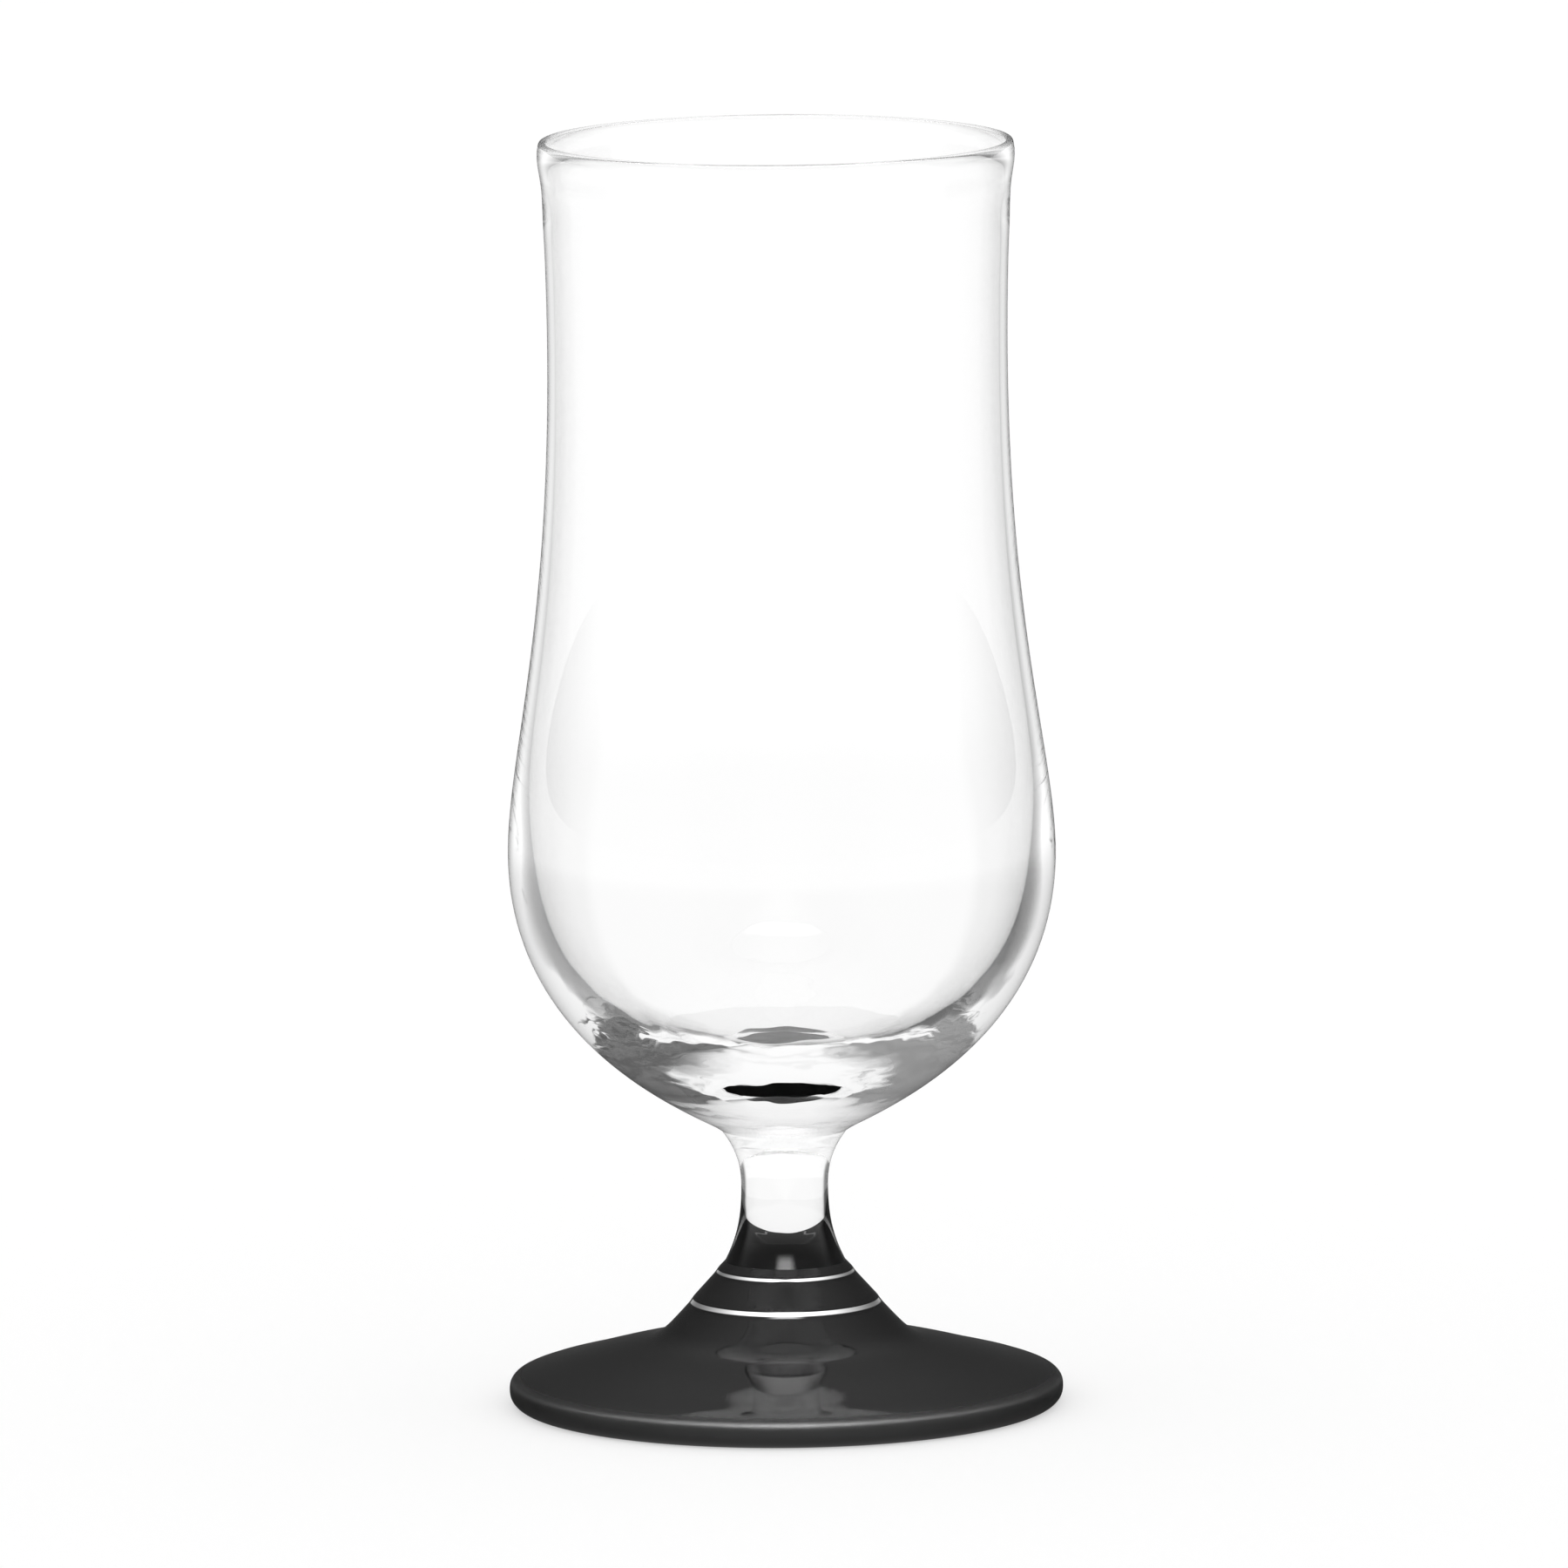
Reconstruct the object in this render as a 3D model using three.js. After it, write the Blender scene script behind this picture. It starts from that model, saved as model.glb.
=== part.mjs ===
import * as THREE from 'three';

// A hurricane glass in three fused pieces: a clear blown bowl, a clear solid stem and a black pressed foot.
// Millimetres, +Z up. The glass is turned about the Z axis and its resting ring lies on z = 0.

// Foot, heights above the table. Its cone has two ridges with a steep step under each, set by drops from its top.
const footHeight = 20.4;
const footRadius = 39.25;
const footEdgeHeight = 4.2;
const footTopEdgeRound = 1.7;
const footBottomEdgeRound = 2.0;
const coneFootRadius = 18.2;
const coneFootHeight = 9.4;
const coneFootRound = 2.6;
const lowerRidgeRadius = 13.1;
const lowerRidgeDrop = 5.25;
const lowerStepReach = 0.65;
const upperRidgeRadius = 9.5;
const upperRidgeDrop = 1.05;
const upperStepReach = 0.55;
const ridgeRound = 0.2;
const stepFootRound = 0.5;
const restingRingWidth = 4.2;
const hollowHeight = 4.0;

// Stem, heights above its lower joint. The neck is its narrowest place.
const stemHeight = 18.8;
const stemFootRadius = 8.5;
const neckRadius = 6.15;
const neckRise = 10.8;

// Bowl, heights above its lower joint. The belly is its widest place and the waist its narrowest.
const bowlHeight = 140.8;
const bowlBaseRadius = 8.9;
const bellyRadius = 38.7;
const bellyRise = 39.6;
const waistRadius = 32.4;
const waistRise = 110.8;
const rimRadius = 33.45;
const rimWall = 1.2;
const bellyWall = 2.7;
const innerBellyLift = 5.2;
const floorThickness = 10.0;

// How steeply the outline runs where it is neither upright nor level, in degrees from level.
const hollowSlope = 12;
const discOuterSlope = 16.6;
const discInnerSlope = 13.2;
const stepSlope = 56;
const stemFlareSlope = 63;
const stemTopSlope = 53;
const bowlBaseSlope = 45;
const rimSlope = 86;

// How long a curve keeps the slope of its end, as a share of the rise or reach of that curve.
const hollowFullness = 0.35;
const discFullness = 0.33;
const flareFullness = 0.38;
const stemTopFullness = 0.4;
const bowlBaseFullness = 0.065;
const lowerBellyFullness = 0.715;
const underWaistFullness = 0.56;
const overWaistFullness = 0.35;
const rimFullness = 0.37;
const innerFloorFullness = 0.72;
const innerLowerBellyFullness = 0.575;
const innerUnderWaistFullness = 0.617;

// Facets round the axis, and along each kind of curve in the outline.
const facetsRound = 48;
const longCurveSteps = 12;
const shortCurveSteps = 6;
const edgeSteps = 4;

const clearGlass = { color: 0xf3f5f5, roughness: 0.03, metalness: 0 };
const blackGlass = { color: 0x1c1c1d, roughness: 0.08, metalness: 0 };

// Directions along an outline, in degrees from level outward.
const up = 90;
const inward = 180;
const down = 270;

const footJoint = footHeight;
const bowlJoint = footJoint + stemHeight;

function point(radius, height) {
  return new THREE.Vector2(radius, height);
}

function moved(start, direction, length) {
  const angle = THREE.MathUtils.degToRad(direction);
  return point(start.x + length * Math.cos(angle), start.y + length * Math.sin(angle));
}

// A smooth curve that leaves its start and reaches its end in set directions, each held for a length.
function curve(start, leaving, leavingLength, end, reaching, reachingLength, steps) {
  const startHandle = moved(start, leaving, leavingLength);
  const endHandle = moved(end, reaching, -reachingLength);
  return new THREE.CubicBezierCurve(start, startHandle, endHandle, end).getPoints(steps);
}

// The held length that gives a curve the same bend as its neighbour where the two meet upright.
function evenBend(neighbourLength, neighbourReach, ownReach) {
  return neighbourLength * Math.sqrt(ownReach / neighbourReach);
}

// A round edge about a centre, between two directions from that centre.
function roundEdge(centre, radius, from, to) {
  const start = THREE.MathUtils.degToRad(from);
  const end = THREE.MathUtils.degToRad(to);
  return new THREE.EllipseCurve(centre.x, centre.y, radius, radius, start, end).getPoints(edgeSteps);
}

// A corner between two straight stretches, rounded over a length of each.
function softCorner(before, corner, after, length) {
  const start = corner.clone().lerp(before, length / corner.distanceTo(before));
  const end = corner.clone().lerp(after, length / corner.distanceTo(after));
  return new THREE.QuadraticBezierCurve(start, corner, end).getPoints(edgeSteps);
}

// The lower edge of the steep step under a ridge of the foot.
function underStep(ridge, reach) {
  return point(ridge.x + reach, ridge.y - reach * Math.tan(THREE.MathUtils.degToRad(stepSlope)));
}

// Joins runs of points into one outline and drops each point that repeats the one before it.
function outline(...runs) {
  const points = runs.flat();
  return points.filter((spot, index) => index === 0 || spot.distanceTo(points[index - 1]) > 1e-6);
}

// A solid turned about Z from an outline that runs outward along its underside and back along its top.
function turned(name, points, look) {
  const geometry = new THREE.LatheGeometry(points, facetsRound);
  geometry.rotateX(Math.PI / 2);
  const mesh = new THREE.Mesh(geometry, new THREE.MeshStandardMaterial(look));
  mesh.name = name;
  return mesh;
}

function makeFoot() {
  const restOuter = point(footRadius - footBottomEdgeRound, 0);
  const restInner = point(restOuter.x - restingRingWidth, 0);
  const hollowTop = point(0, hollowHeight);
  const hollowHold = restInner.x * hollowFullness;
  const bottomEdgeCentre = point(restOuter.x, footBottomEdgeRound);
  const bottomEdge = roundEdge(bottomEdgeCentre, footBottomEdgeRound, -up, 0);
  const topEdgeCentre = point(footRadius - footTopEdgeRound, footEdgeHeight - footTopEdgeRound);
  const topEdge = roundEdge(topEdgeCentre, footTopEdgeRound, 0, up - discOuterSlope);
  const discOuter = topEdge.at(-1);
  const coneFoot = point(coneFootRadius, coneFootHeight);
  const discInner = moved(coneFoot, -discInnerSlope, coneFootRound);
  const discHold = (discOuter.x - discInner.x) * discFullness;
  const lowerRidge = point(lowerRidgeRadius, footJoint - lowerRidgeDrop);
  const lowerStepFoot = underStep(lowerRidge, lowerStepReach);
  const upperRidge = point(upperRidgeRadius, footJoint - upperRidgeDrop);
  const upperStepFoot = underStep(upperRidge, upperStepReach);
  const coneTop = point(stemFootRadius, footJoint);
  return turned('foot', outline(
    curve(hollowTop, 0, hollowHold, restInner, -hollowSlope, hollowHold, shortCurveSteps),
    bottomEdge,
    topEdge,
    curve(discOuter, inward - discOuterSlope, discHold, discInner, inward - discInnerSlope, discHold, edgeSteps),
    softCorner(discInner, coneFoot, lowerStepFoot, coneFootRound),
    softCorner(coneFoot, lowerStepFoot, lowerRidge, stepFootRound),
    softCorner(lowerStepFoot, lowerRidge, upperStepFoot, ridgeRound),
    softCorner(lowerRidge, upperStepFoot, upperRidge, stepFootRound),
    softCorner(upperStepFoot, upperRidge, coneTop, ridgeRound),
    [coneTop, point(0, footJoint)],
  ), blackGlass);
}

function makeStem() {
  const lowerEdge = point(stemFootRadius, footJoint);
  const neck = point(neckRadius, footJoint + neckRise);
  const upperEdge = point(bowlBaseRadius, bowlJoint);
  const flareHold = neckRise * flareFullness;
  const topHold = (stemHeight - neckRise) * stemTopFullness;
  return turned('stem', outline(
    [point(0, footJoint)],
    curve(lowerEdge, inward - stemFlareSlope, flareHold, neck, up, flareHold, shortCurveSteps),
    curve(neck, up, topHold, upperEdge, stemTopSlope, topHold, shortCurveSteps),
    [point(0, bowlJoint)],
  ), clearGlass);
}

function makeBowl() {
  const base = point(bowlBaseRadius, bowlJoint);
  const belly = point(bellyRadius, bowlJoint + bellyRise);
  const waist = point(waistRadius, bowlJoint + waistRise);
  const lipRadius = rimWall / 2;
  const lipHeight = bowlJoint + bowlHeight - lipRadius;
  const lipCentre = point(rimRadius - lipRadius, lipHeight);
  const rim = point(rimRadius, lipHeight);
  const innerRim = point(rimRadius - rimWall, lipHeight);
  const innerWaist = point(waistRadius - rimWall, waist.y);
  const innerBelly = point(bellyRadius - bellyWall, belly.y + innerBellyLift);
  const floor = point(0, bowlJoint + floorThickness);

  const baseHold = bellyRise * bowlBaseFullness;
  const lowerHold = bellyRise * lowerBellyFullness;
  const lowerReach = belly.x - moved(base, bowlBaseSlope, baseHold).x;
  const upperHold = evenBend(lowerHold, lowerReach, belly.x - waist.x);
  const underWaistHold = (waist.y - belly.y) * underWaistFullness;
  const overWaistHold = (rim.y - waist.y) * overWaistFullness;
  const rimHold = (rim.y - waist.y) * rimFullness;

  const floorHold = innerBelly.x * innerFloorFullness;
  const innerLowerHold = (innerBelly.y - floor.y) * innerLowerBellyFullness;
  const innerUpperHold = evenBend(innerLowerHold, innerBelly.x - floorHold, innerBelly.x - innerWaist.x);
  const innerUnderWaistHold = (waist.y - innerBelly.y) * innerUnderWaistFullness;

  return turned('bowl', outline(
    [point(0, bowlJoint)],
    curve(base, bowlBaseSlope, baseHold, belly, up, lowerHold, longCurveSteps),
    curve(belly, up, upperHold, waist, up, underWaistHold, longCurveSteps),
    curve(waist, up, overWaistHold, rim, rimSlope, rimHold, shortCurveSteps),
    roundEdge(lipCentre, lipRadius, 0, inward),
    curve(innerRim, inward + rimSlope, rimHold, innerWaist, down, overWaistHold, shortCurveSteps),
    curve(innerWaist, down, innerUnderWaistHold, innerBelly, down, innerUpperHold, longCurveSteps),
    curve(innerBelly, down, innerLowerHold, floor, inward, floorHold, longCurveSteps),
  ), clearGlass);
}

const glass = new THREE.Group();
glass.name = 'hurricane_glass';
glass.add(makeBowl(), makeStem(), makeFoot());

export default glass;
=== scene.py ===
import math

import bpy
import numpy as np
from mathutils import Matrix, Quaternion, Vector


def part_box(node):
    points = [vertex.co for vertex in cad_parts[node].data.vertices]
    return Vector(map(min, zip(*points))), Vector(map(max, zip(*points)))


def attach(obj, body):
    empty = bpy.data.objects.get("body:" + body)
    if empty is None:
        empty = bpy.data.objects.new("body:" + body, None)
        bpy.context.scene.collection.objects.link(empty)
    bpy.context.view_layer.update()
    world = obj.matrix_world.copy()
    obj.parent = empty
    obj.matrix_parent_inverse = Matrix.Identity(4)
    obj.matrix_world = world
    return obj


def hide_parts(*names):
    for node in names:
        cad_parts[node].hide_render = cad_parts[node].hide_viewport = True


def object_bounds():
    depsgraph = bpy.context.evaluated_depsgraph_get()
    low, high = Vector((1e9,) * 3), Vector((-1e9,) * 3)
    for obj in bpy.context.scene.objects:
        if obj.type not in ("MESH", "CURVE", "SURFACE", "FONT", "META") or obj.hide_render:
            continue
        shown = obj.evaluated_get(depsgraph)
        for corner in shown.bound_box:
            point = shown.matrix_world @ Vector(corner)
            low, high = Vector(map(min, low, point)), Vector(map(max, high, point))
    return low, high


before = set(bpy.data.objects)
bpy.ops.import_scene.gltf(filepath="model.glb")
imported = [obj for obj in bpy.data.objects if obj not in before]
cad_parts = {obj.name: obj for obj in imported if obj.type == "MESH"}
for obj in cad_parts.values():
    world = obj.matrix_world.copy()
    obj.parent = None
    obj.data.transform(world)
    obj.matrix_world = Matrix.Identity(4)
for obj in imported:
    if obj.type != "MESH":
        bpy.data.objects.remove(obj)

# A hurricane glass made of three pieces of glass, fused hot: a clear bowl, a clear stem and a black foot.
# Metres. Every piece is turned about the Z axis, from the outline of the CAD node that it replaces.

cad_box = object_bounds()
lower_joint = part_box("stem")[0].z
upper_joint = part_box("stem")[1].z
rim_height = cad_box[1].z
foot_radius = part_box("foot")[1].x
table = 0.0

MILLIMETRE = 0.001

# How closely points of the CAD mesh have to agree.
DECIMALS = 6
TINY = 1e-6
SAME_LEVEL = 2 * TINY
IN_PLANE = 10 * TINY

# How finely the outlines are drawn, and how many facets go round. A curve is led on past the axis by a few
# mirrored points, so that it meets the axis level.
FACETS_ROUND = 240
LONGEST_STEP = 1.6 * MILLIMETRE
LARGEST_TURN = math.radians(4)
SHARP_EDGE = math.radians(25)
MIRRORED_POINTS = 3

# The photograph is square. One millimetre at the glass is this many of its pixels.
PHOTO_SIDE = 1800
PIXELS_PER_MM = 8.13
CAMERA_BACK = 2.6
CAMERA_HEIGHT = 0.462
AIM_HEIGHT = 0.0885
AIM_RIGHT = 0.0004
CAMERA_ROLL = math.radians(0.5)

# Light runs along inside the wall for many turns before it comes out. A ray cut off before that is black.
LIGHT_BOUNCES = 400

# Waves in the clear glass, stronger low in the bowl, where it is thick. Heights above the table.
CLEAR_IOR = 1.52
WAVE_SCALE = 85.0
WAVE_DETAIL = 2.0
WAVE_DEPTH = 0.3 * MILLIMETRE
WAVE_TOP = 72 * MILLIMETRE
WAVE_BOTTOM = 50 * MILLIMETRE
WAVE_LEAST = 0.01

# The rim of the bowl is a little dull from use, in spots.
RIM_WORN_DEPTH = 0.9 * MILLIMETRE
RIM_ROUGHNESS = 0.16
SPOT_SCALE = 400.0
SPOT_DETAIL = 2.0

# Black glass has faint clouds, which also make its polish and its skin a little uneven. The rim of the foot
# grows dull with wear between these two shares of its radius.
BLACK_IOR = 1.5
CLOUD_SCALE = 70.0
CLOUD_DETAIL = 3.0
BLACK_TONES = (0.004, 0.008)
POLISH_ROUGHNESS = (0.02, 0.05)
SKIN_STRENGTH = 0.05
SKIN_DEPTH = 0.2 * MILLIMETRE
WORN_FROM = 0.945
WORN_TO = 0.975
WORN_ROUGHNESS = 0.4

# What glass shows of the room depends on the kind of ray. Levels are shares of white, and a little more than
# 1 makes up for light lost at the faces of the glass. A level changes between the two ends of a reach. Those
# are parts of a direction, sideways, backward or upward, unless they are said to be in metres.

# Straight through, the room is white. Solid glass, crossed at two faces, also shows a dark card to each side.
THROUGH_WHITE = 1.07
SOLID_FACES = 2
CARD_SIDE = (0.75, 0.87)
CARD_END = (0.96, 1.0)
CARD_DARKNESS = 0.85

# After a few turns inside the glass, the room is a tent, white behind and in front, with grey sides.
FEW_TURNS = 25
TENT_WHITE = 1.05
TENT_LEFT = 0.3
TENT_RIGHT = 0.12
TENT_REACH = (0.2, 0.7)
TENT_FRONT_REACH = (-0.25, 0.3)

# In the mirror image the room is dim, and brighter overhead and low in front.
ROOM_LOW = 0.07
ROOM_RISE = 0.8
ROOM_RISE_POWER = 3.0
FRONT_GLOW = 0.85
FRONT_RISE = (0.0, 0.6)
FRONT_REACH = (0.0, 0.4)

# The floor. Its glow is for the camera alone. Straight through, it has painted shade near the glass. The
# mirror image shows it dim near the glass, apart from painted light in front, and bright farther off, apart
# from straight behind.
FLOOR_SIZE = 60.0
FLOOR_WHITE = 0.93
FLOOR_GLOW = 1.1
FLOOR_GLOW_SHARE = 0.45
# Painted shade: the level of the floor seen straight through the glass, near the glass.
FLOOR_THROUGH_PAINTED_SHADE = 0.99
FLOOR_PAINTED_LIGHT = 0.8
FLOOR_PAINTED_LIGHT_SIDE = 0.25
FLOOR_FAR = 1.0
FLOOR_BEHIND_REACH = (0.86, 0.97)

# Reaches on the floor in metres: of the painted light, backward and to either side, and of the near floor.
PAINTED_LIGHT_BACK_REACH = (-0.06, 0.0)
PAINTED_LIGHT_SIDE_REACH = (0.0, 0.08)
NEAR_REACH = (0.35, 0.8)

# In the mirror image a soft box bows round the front of the glass, so that the steep steps of the foot mirror
# it to the camera all round. A narrow one, the key, hangs under its middle. Their places are upward and
# sideways parts of the normal of the slope that mirrors them.
STEP_SLOPE = math.radians(56)
BOW_HEIGHT = math.cos(STEP_SLOPE)
BOW_EDGE = (0.014, 0.028)
BOW_SIDE = (0.0, 0.8)
BOW_LIGHT = 50.0
BOW_END_LIGHT = 1.0
KEY_FOOT = (0.36, 0.5)
KEY_TOP = (0.6, 0.655)
KEY_SIDE = (0.04, 0.18)
KEY_LIGHT = 14.0


def outline_of(node):
    """The outline that a CAD node is turned from: (radius, height) points from the axis round to the axis."""
    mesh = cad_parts[node].data
    spots = [tuple(round(part, DECIMALS) for part in vertex.co) for vertex in mesh.vertices]
    links = {}
    for edge in mesh.edges:
        start, end = (spots[index] for index in edge.vertices)
        in_plane = abs(start[1]) + abs(end[1]) < IN_PLANE and min(start[0], end[0]) > -TINY
        if in_plane and start != end:
            links.setdefault(start, []).append(end)
            links.setdefault(end, []).append(start)
    here = min((spot for spot in links if spot[0] < TINY), key=lambda spot: spot[2])
    path = [here]
    while True:
        onward = [spot for spot in links[here] if spot not in path]
        if not onward:
            return [np.array((spot[0], spot[2])) for spot in path]
        here = onward[0]
        path.append(here)


def turn_at(before, here, after):
    """How far an outline turns at a point. A turn into a hollow corner is negative."""
    arriving, leaving = here - before, after - here
    return math.atan2(arriving[0] * leaving[1] - arriving[1] * leaving[0], arriving @ leaving)


def runs_of(outline):
    """The outline cut into runs at hollow corners and at those in the plane of a joint or of the table."""
    levels = (table, lower_joint, upper_joint)
    runs = [[outline[0]]]
    for before, here, after in zip(outline, outline[1:], outline[2:]):
        runs[-1].append(here)
        in_plane = min(abs(here[1] - level) for level in levels) < SAME_LEVEL
        if in_plane or turn_at(before, here, after) < -SHARP_EDGE:
            runs.append([here])
    runs[-1].append(outline[-1])
    return [np.array(run) for run in runs]


def spline_bends(knots, points):
    """Second derivatives at the knots of the natural cubic spline through the points."""
    gaps = np.diff(knots)
    slopes = np.diff(points, axis=0) / gaps[:, None]
    matrix = np.eye(len(knots))
    right = np.zeros_like(points)
    for i in range(1, len(knots) - 1):
        matrix[i, i - 1:i + 2] = gaps[i - 1], 2 * (gaps[i - 1] + gaps[i]), gaps[i]
        right[i] = 6 * (slopes[i] - slopes[i - 1])
    return np.linalg.solve(matrix, right)


def smooth_run(points):
    """A smooth curve through a run of points, level where it meets the axis, drawn in fine steps."""
    if len(points) == 2:
        return points
    mirror = np.array((-1.0, 1.0))
    before = points[MIRRORED_POINTS:0:-1] * mirror if points[0][0] < TINY else points[:0]
    after = points[-2:-2 - MIRRORED_POINTS:-1] * mirror if points[-1][0] < TINY else points[:0]
    whole = np.vstack([before, points, after])
    gaps = np.linalg.norm(np.diff(whole, axis=0), axis=1)
    bends = spline_bends(np.concatenate([[0.0], np.cumsum(gaps)]), whole)
    drawn = [points[0]]
    for i in range(len(before), len(whole) - len(after) - 1):
        gap, start, end, start_bend, end_bend = gaps[i], whole[i], whole[i + 1], bends[i], bends[i + 1]
        turn = gap * np.linalg.norm(start_bend + end_bend) / 2
        steps = math.ceil(max(gap / LONGEST_STEP, turn / LARGEST_TURN))
        for share in np.arange(1, steps + 1) / steps:
            rest = 1 - share
            curved = (rest ** 3 - rest) * start_bend + (share ** 3 - share) * end_bend
            drawn.append(rest * start + share * end + curved * gap ** 2 / 6)
    drawn[-1] = points[-1]
    return np.array(drawn)


def turned(node, wall, joint_faces):
    """A solid of glass turned from a CAD node's outline, in place of that node.

    joint_faces gives the material of each flat face that lies in a joint, by the height of the face.
    """
    points, faces, looks = [], [], []
    levels = list(joint_faces)

    def ring(spot):
        first = len(points)
        if spot[0] < TINY:
            points.append((0.0, 0.0, spot[1]))
            return [first] * FACETS_ROUND
        for turn in np.arange(FACETS_ROUND) * 2 * math.pi / FACETS_ROUND:
            points.append((spot[0] * math.cos(turn), spot[0] * math.sin(turn), spot[1]))
        return list(range(first, first + FACETS_ROUND))

    last = None
    for run in runs_of(outline_of(node)):
        flat = len(run) == 2 and abs(run[0][1] - run[1][1]) < SAME_LEVEL
        joint = [level for level in levels if flat and abs(run[0][1] - level) < SAME_LEVEL]
        look = 1 + levels.index(joint[0]) if joint else 0
        drawn = smooth_run(run)
        if last is None:
            last = ring(drawn[0])
        for spot in drawn[1:]:
            following = ring(spot)
            for here in range(FACETS_ROUND):
                there = (here + 1) % FACETS_ROUND
                corners = dict.fromkeys((last[here], last[there], following[there], following[here]))
                faces.append(tuple(corners))
                looks.append(look)
            last = following

    mesh = bpy.data.meshes.new(node + "_glass")
    mesh.from_pydata(points, [], faces)
    for material in (wall, *joint_faces.values()):
        mesh.materials.append(material)
    mesh.polygons.foreach_set("material_index", looks)
    mesh.polygons.foreach_set("use_smooth", [True] * len(faces))
    mesh.set_sharp_from_angle(angle=SHARP_EDGE)
    piece = bpy.data.objects.new(node + "_glass", mesh)
    bpy.context.scene.collection.objects.link(piece)
    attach(piece, "root")
    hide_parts(node)
    return piece


class Nodes:
    """A node tree that is filled node by node, each with its values and links set as it is made."""

    def __init__(self, owner):
        owner.use_nodes = True
        self.tree = owner.node_tree
        self.tree.nodes.clear()

    def add(self, kind, settings=None, **inputs):
        """A new node. An input is named as its socket is, with _ for a space, or i and its number."""
        node = self.tree.nodes.new("ShaderNode" + kind)
        for name, value in (settings or {}).items():
            setattr(node, name, value)
        for name, value in inputs.items():
            socket = node.inputs[int(name[1:]) if name[1:].isdigit() else name.replace("_", " ")]
            if isinstance(value, bpy.types.NodeSocket):
                self.tree.links.new(value, socket)
            else:
                socket.default_value = value
        return node

    def math(self, operation, *values):
        inputs = {f"i{index}": value for index, value in enumerate(values)}
        return self.add("Math", {"operation": operation}, **inputs).outputs[0]

    def at_most(self, count, most):
        """1 where a whole number is no larger than another one, else 0."""
        return self.math("LESS_THAN", count, most + 0.5)

    def ramp(self, value, start, end, low, high):
        """A smooth change from low to high while a value goes from start to end."""
        return self.add(
            "MapRange", {"interpolation_type": "SMOOTHSTEP"}, Value=value,
            From_Min=start, From_Max=end, To_Min=low, To_Max=high,
        ).outputs[0]

    def between(self, share, low, high):
        """A value from low to high, by a share from 0 to 1."""
        return self.add("MapRange", Value=share, To_Min=low, To_Max=high).outputs[0]


def grey(value):
    return (value, value, value, 1.0)


def clear_glass():
    """Clear blown glass, wavy low down, a little uneven above and dull in spots along its rim."""
    material = bpy.data.materials.new("clear_blown_glass")
    nodes = Nodes(material)
    place = nodes.add("TexCoord").outputs["Object"]
    height = nodes.add("SeparateXYZ", Vector=place).outputs["Z"]
    waves = nodes.add("TexNoise", Vector=place, Scale=WAVE_SCALE, Detail=WAVE_DETAIL).outputs["Fac"]
    strength = nodes.ramp(height, WAVE_BOTTOM, WAVE_TOP, 1.0, WAVE_LEAST)
    bump = nodes.add("Bump", Strength=strength, Distance=WAVE_DEPTH, Height=waves).outputs["Normal"]
    spots = nodes.add("TexNoise", Vector=place, Scale=SPOT_SCALE, Detail=SPOT_DETAIL).outputs["Fac"]
    worn = nodes.ramp(height, rim_height - RIM_WORN_DEPTH, rim_height, 0.0, RIM_ROUGHNESS)
    shader = nodes.add(
        "BsdfPrincipled", Base_Color=grey(1.0), Roughness=nodes.math("MULTIPLY", worn, spots),
        IOR=CLEAR_IOR, Transmission_Weight=1.0, Normal=bump,
    )
    nodes.add("OutputMaterial", Surface=shader.outputs[0])
    return material


def cloudy_black(nodes):
    """Faint clouds in black glass, and the colour that they give it."""
    place = nodes.add("TexCoord").outputs["Object"]
    cloud = nodes.add("TexNoise", Vector=place, Scale=CLOUD_SCALE, Detail=CLOUD_DETAIL).outputs["Fac"]
    tone = nodes.between(cloud, *BLACK_TONES)
    return cloud, nodes.add("CombineColor", Red=tone, Green=tone, Blue=tone).outputs[0]


def black_glass():
    """Black pressed glass with a fire-polished skin, a little uneven and dull along its rim."""
    material = bpy.data.materials.new("black_pressed_glass")
    nodes = Nodes(material)
    cloud, colour = cloudy_black(nodes)
    place = nodes.add("TexCoord").outputs["Object"]
    level_place = nodes.add("VectorMath", {"operation": "MULTIPLY"}, i0=place, i1=(1.0, 1.0, 0.0)).outputs[0]
    radius = nodes.add("VectorMath", {"operation": "LENGTH"}, i0=level_place).outputs["Value"]
    worn = nodes.ramp(radius, WORN_FROM * foot_radius, WORN_TO * foot_radius, 0.0, WORN_ROUGHNESS)
    polish = nodes.between(cloud, *POLISH_ROUGHNESS)
    bump = nodes.add("Bump", Strength=SKIN_STRENGTH, Distance=SKIN_DEPTH, Height=cloud).outputs["Normal"]
    shader = nodes.add(
        "BsdfPrincipled", Base_Color=colour, Roughness=nodes.math("ADD", polish, worn),
        IOR=BLACK_IOR, Normal=bump,
    )
    nodes.add("OutputMaterial", Surface=shader.outputs[0])
    return material


def fused_clear():
    """A joint inside clear glass: nothing shows there, since the glass runs on."""
    material = bpy.data.materials.new("fused_clear")
    nodes = Nodes(material)
    nodes.add("OutputMaterial", Surface=nodes.add("BsdfTransparent").outputs[0])
    return material


def fused_black():
    """The top of the black glass under the clear stem. Fused glass has no gloss of its own there."""
    material = bpy.data.materials.new("fused_black")
    nodes = Nodes(material)
    _, colour = cloudy_black(nodes)
    shader = nodes.add("BsdfPrincipled", Base_Color=colour, Roughness=1.0, Specular_IOR_Level=0.0)
    nodes.add("OutputMaterial", Surface=shader.outputs[0])
    return material


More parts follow.
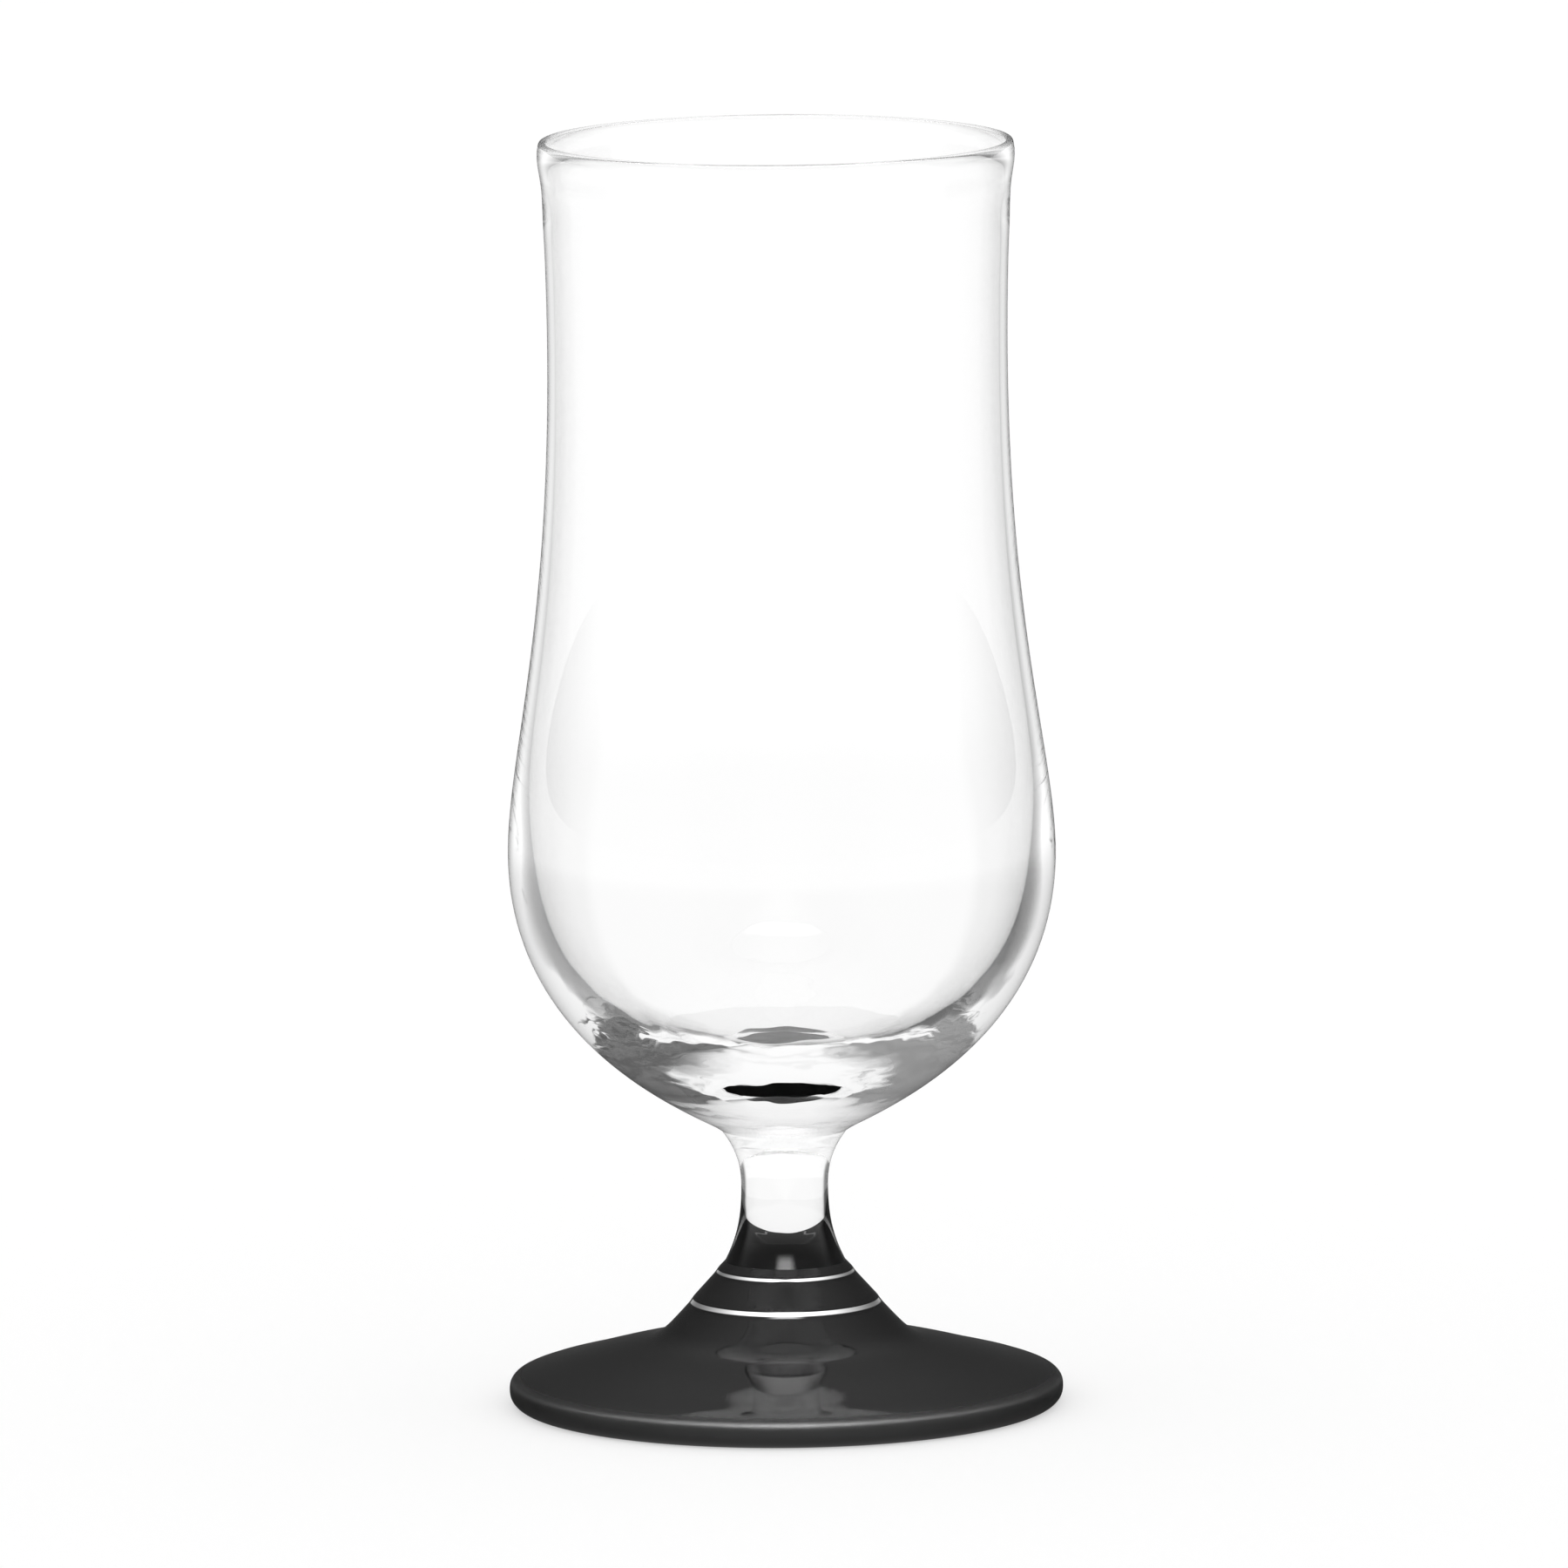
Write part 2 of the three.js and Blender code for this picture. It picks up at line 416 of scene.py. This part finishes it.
def glass_rays(nodes):
    """Masks of the rays that come through glass, turned inside it, or were mirrored by it once or again.

    A ray with more than a few turns may come from anywhere, so it counts as one that comes through. So does
    the image in the far wall of the bowl, which has one turn and crosses more than two faces.
    """
    path = nodes.add("LightPath").outputs
    turns = path["Glossy Depth"]
    unscattered = nodes.at_most(path["Diffuse Depth"], 0)
    out_of_glass = nodes.math("MULTIPLY", path["Is Transmission Ray"], unscattered)
    few = nodes.math("COMPARE", turns, (1 + FEW_TURNS) / 2, FEW_TURNS / 2)
    one_turn = nodes.at_most(turns, 1)
    several = nodes.math("SUBTRACT", 1.0, one_turn)
    one_wall = nodes.math("MAXIMUM", nodes.at_most(path["Transmission Depth"], SOLID_FACES), several)
    turned_inside = nodes.math("MULTIPLY", nodes.math("MULTIPLY", out_of_glass, few), one_wall)
    through = nodes.math("SUBTRACT", out_of_glass, turned_inside)
    glossy = nodes.math("MULTIPLY", path["Is Glossy Ray"], unscattered)
    mirrored = nodes.math("SUBTRACT", glossy, out_of_glass)
    mirrored_once = nodes.math("MULTIPLY", mirrored, one_turn)
    mirrored_again = nodes.math("SUBTRACT", mirrored, mirrored_once)
    return through, turned_inside, mirrored_once, mirrored_again


def seen_by(nodes, rays, levels, others):
    """A level for each kind of ray, and one for the others."""
    level = others
    for mask, value in zip(rays, levels):
        level = nodes.math("MULTIPLY_ADD", mask, nodes.math("SUBTRACT", value, others), level)
    return level


def carded(nodes, white, sideways):
    """White with a dark card on either side, for rays that went straight through solid glass."""
    path = nodes.add("LightPath").outputs
    straight = nodes.at_most(path["Glossy Depth"], 0)
    solid = nodes.at_most(path["Transmission Depth"], SOLID_FACES)
    aside = nodes.math("ABSOLUTE", sideways)
    start = nodes.ramp(aside, *CARD_SIDE, 0.0, CARD_DARKNESS)
    card = nodes.math("MULTIPLY", start, nodes.ramp(aside, *CARD_END, 1.0, 0.0))
    card = nodes.math("MULTIPLY", card, nodes.math("MULTIPLY", straight, solid))
    return nodes.math("MULTIPLY", white, nodes.math("SUBTRACT", 1.0, card))


def tent(nodes, sideways, backward):
    """White behind and in front, and grey to both sides, darker on the right."""
    aside = nodes.math("MULTIPLY", sideways, nodes.ramp(backward, *TENT_FRONT_REACH, 0.0, 1.0))
    left = nodes.ramp(nodes.math("MULTIPLY", aside, -1.0), *TENT_REACH, TENT_WHITE, TENT_LEFT)
    right = nodes.ramp(aside, *TENT_REACH, TENT_WHITE, TENT_RIGHT)
    return nodes.math("MINIMUM", left, right)


def lamps(nodes, direction):
    """The light of the two soft boxes, by direction."""
    to_camera = Vector((0.0, -CAMERA_BACK, CAMERA_HEIGHT)).normalized()
    halfway = nodes.add("VectorMath", {"operation": "ADD"}, i0=direction, i1=to_camera).outputs[0]
    normal = nodes.add("VectorMath", {"operation": "NORMALIZE"}, i0=halfway).outputs[0]
    sideways, _, upward = nodes.add("SeparateXYZ", Vector=normal).outputs
    aside = nodes.math("ABSOLUTE", sideways)
    off_bow = nodes.math("ABSOLUTE", nodes.math("SUBTRACT", upward, BOW_HEIGHT))
    bow = nodes.math("MULTIPLY", nodes.ramp(off_bow, *BOW_EDGE, 1.0, 0.0),
                     nodes.ramp(aside, *BOW_SIDE, BOW_LIGHT, BOW_END_LIGHT))
    key = nodes.math("MULTIPLY", nodes.ramp(upward, *KEY_FOOT, 0.0, KEY_LIGHT),
                     nodes.ramp(upward, *KEY_TOP, 1.0, 0.0))
    key = nodes.math("MULTIPLY", key, nodes.ramp(aside, *KEY_SIDE, 1.0, 0.0))
    return nodes.math("ADD", bow, key)


def floor_material():
    """Pale and matt, with a faint shadow. Glass shows it white straight through, with painted shade near it,
    and dimmer in reflection, with painted light in front.
    """
    material = bpy.data.materials.new("floor")
    nodes = Nodes(material)
    place = nodes.add("NewGeometry").outputs["Position"]
    across, along, _ = nodes.add("SeparateXYZ", Vector=place).outputs
    distance = nodes.add("VectorMath", {"operation": "LENGTH"}, i0=place).outputs["Value"]
    direction = nodes.add("VectorMath", {"operation": "NORMALIZE"}, i0=place).outputs[0]
    sideways, backward, _ = nodes.add("SeparateXYZ", Vector=direction).outputs

    # Straight through, painted shade darkens the floor near the glass.
    white = nodes.ramp(distance, *NEAR_REACH, FLOOR_THROUGH_PAINTED_SHADE, THROUGH_WHITE)
    # Painted light: a bright patch on the floor in front of the glass, seen in the mirror image.
    in_front = nodes.ramp(along, *PAINTED_LIGHT_BACK_REACH, 1.0, 0.0)
    painted_light_patch = nodes.ramp(nodes.math("ABSOLUTE", across), *PAINTED_LIGHT_SIDE_REACH, FLOOR_PAINTED_LIGHT, FLOOR_PAINTED_LIGHT_SIDE)
    near_with_painted_light = nodes.math("MULTIPLY_ADD", in_front, painted_light_patch, ROOM_LOW)
    far = nodes.ramp(backward, *FLOOR_BEHIND_REACH, FLOOR_FAR, ROOM_LOW)
    mirrored = nodes.ramp(distance, *NEAR_REACH, near_with_painted_light, far)
    levels = (carded(nodes, white, sideways), tent(nodes, sideways, backward), mirrored, ROOM_LOW)
    rays = glass_rays(nodes)
    shown = nodes.add("Emission", Color=grey(1.0), Strength=seen_by(nodes, rays, levels, 0.0)).outputs[0]

    matt = nodes.add("BsdfDiffuse", Color=grey(FLOOR_WHITE)).outputs[0]
    glow = nodes.add("Emission", Color=grey(1.0), Strength=FLOOR_GLOW).outputs[0]
    share = nodes.math("MULTIPLY", nodes.add("LightPath").outputs["Is Camera Ray"], FLOOR_GLOW_SHARE)
    pale = nodes.add("MixShader", Fac=share, i1=matt, i2=glow).outputs[0]
    from_glass = seen_by(nodes, rays, [1.0] * len(rays), 0.0)
    both = nodes.add("MixShader", Fac=from_glass, i1=pale, i2=shown).outputs[0]
    nodes.add("OutputMaterial", Surface=both)
    return material


def make_floor():
    half = FLOOR_SIZE / 2
    corners = [(-half, -half, table), (half, -half, table), (half, half, table), (-half, half, table)]
    mesh = bpy.data.meshes.new("floor")
    mesh.from_pydata(corners, [], [(0, 1, 2, 3)])
    mesh.materials.append(floor_material())
    floor = bpy.data.objects.new("floor", mesh)
    bpy.context.scene.collection.objects.link(floor)


def make_world():
    """Even light all round. Glass shows the room described above instead, by kind of ray."""
    world = bpy.data.worlds.new("studio")
    bpy.context.scene.world = world
    nodes = Nodes(world)
    direction = nodes.add("TexCoord").outputs["Generated"]
    sideways, backward, upward = nodes.add("SeparateXYZ", Vector=direction).outputs
    overhead = nodes.math("POWER", nodes.math("MAXIMUM", upward, 0.0), ROOM_RISE_POWER)
    room = nodes.math("MULTIPLY_ADD", overhead, ROOM_RISE, ROOM_LOW)
    glow = nodes.math("MULTIPLY", nodes.ramp(upward, *FRONT_RISE, FRONT_GLOW, 0.0),
                      nodes.ramp(backward, *FRONT_REACH, 1.0, 0.0))
    mirrored = nodes.math("ADD", nodes.math("ADD", room, lamps(nodes, direction)), glow)
    levels = (carded(nodes, THROUGH_WHITE, sideways), tent(nodes, sideways, backward), mirrored, ROOM_LOW)
    level = seen_by(nodes, glass_rays(nodes), levels, 1.0)
    nodes.add("OutputWorld", Surface=nodes.add("Background", Color=grey(1.0), Strength=level).outputs[0])


def make_camera():
    """The camera at the photograph's angle, with the glass as large in the frame as it is there."""
    data = bpy.data.cameras.new("camera")
    camera = bpy.data.objects.new("camera", data)
    camera.location = (0.0, -CAMERA_BACK, CAMERA_HEIGHT)
    view = Vector((AIM_RIGHT, 0.0, AIM_HEIGHT)) - camera.location
    camera.rotation_mode = "QUATERNION"
    camera.rotation_quaternion = view.to_track_quat("-Z", "Y") @ Quaternion((0, 0, 1), -CAMERA_ROLL)
    data.lens = data.sensor_width * PIXELS_PER_MM * view.length / MILLIMETRE / PHOTO_SIDE
    data.clip_end = 2 * FLOOR_SIZE
    bpy.context.scene.collection.objects.link(camera)
    bpy.context.scene.camera = camera


clear = clear_glass()
inside_clear = fused_clear()
bowl = turned("bowl", clear, {upper_joint: inside_clear})
stem = turned("stem", clear, {lower_joint: inside_clear, upper_joint: inside_clear})
foot = turned("foot", black_glass(), {lower_joint: fused_black()})
for piece in (bowl, stem):
    # Only the black foot casts a shadow.
    piece.visible_shadow = False

make_floor()
make_world()
make_camera()
bpy.context.scene.view_settings.view_transform = "Standard"
cycles = bpy.context.scene.cycles
cycles.max_bounces = cycles.glossy_bounces = LIGHT_BOUNCES
cycles.transmission_bounces = cycles.transparent_max_bounces = LIGHT_BOUNCES
